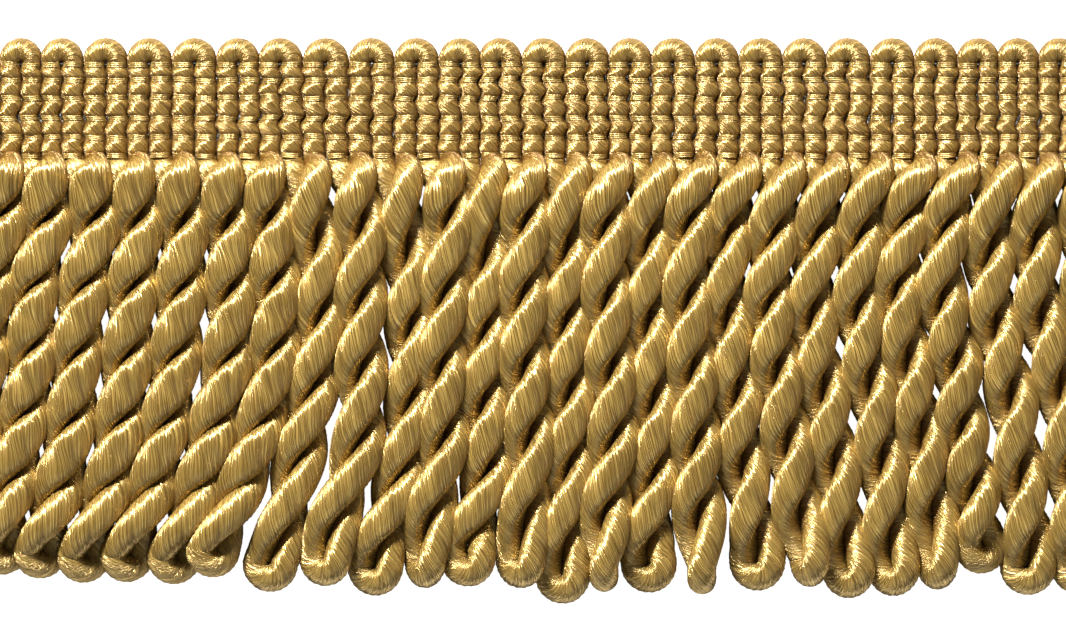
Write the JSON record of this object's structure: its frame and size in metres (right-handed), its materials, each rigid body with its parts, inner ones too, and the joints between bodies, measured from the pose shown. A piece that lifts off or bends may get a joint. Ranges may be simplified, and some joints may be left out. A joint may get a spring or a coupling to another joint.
{
  "type": "cord fringe trim",
  "caption": "Cut length of gold bullion fringe: a flat woven gimp heading with a scalloped top and a skirt of twisted two-ply cord loops, lying face up.",
  "frame": {"origin": "middle of the heading's flat back, on the surface that the trim lies on", "axes": "+X along the trim, +Y from the skirt towards the scalloped top of the heading, +Z out of the face"},
  "size_m": [0.1729, 0.0777, 0.0059],
  "materials": {
    "gold_gimp": "lustrous gold rayon wrapped gimp cord, bound across with fine matching thread",
    "gold_bullion": "lustrous gold rayon wrapped cord, twisted in pairs"
  },
  "bodies": {
    "root": {"heading": "gold_gimp", "bullion_skirt": "gold_bullion"}
  },
  "joints": []
}
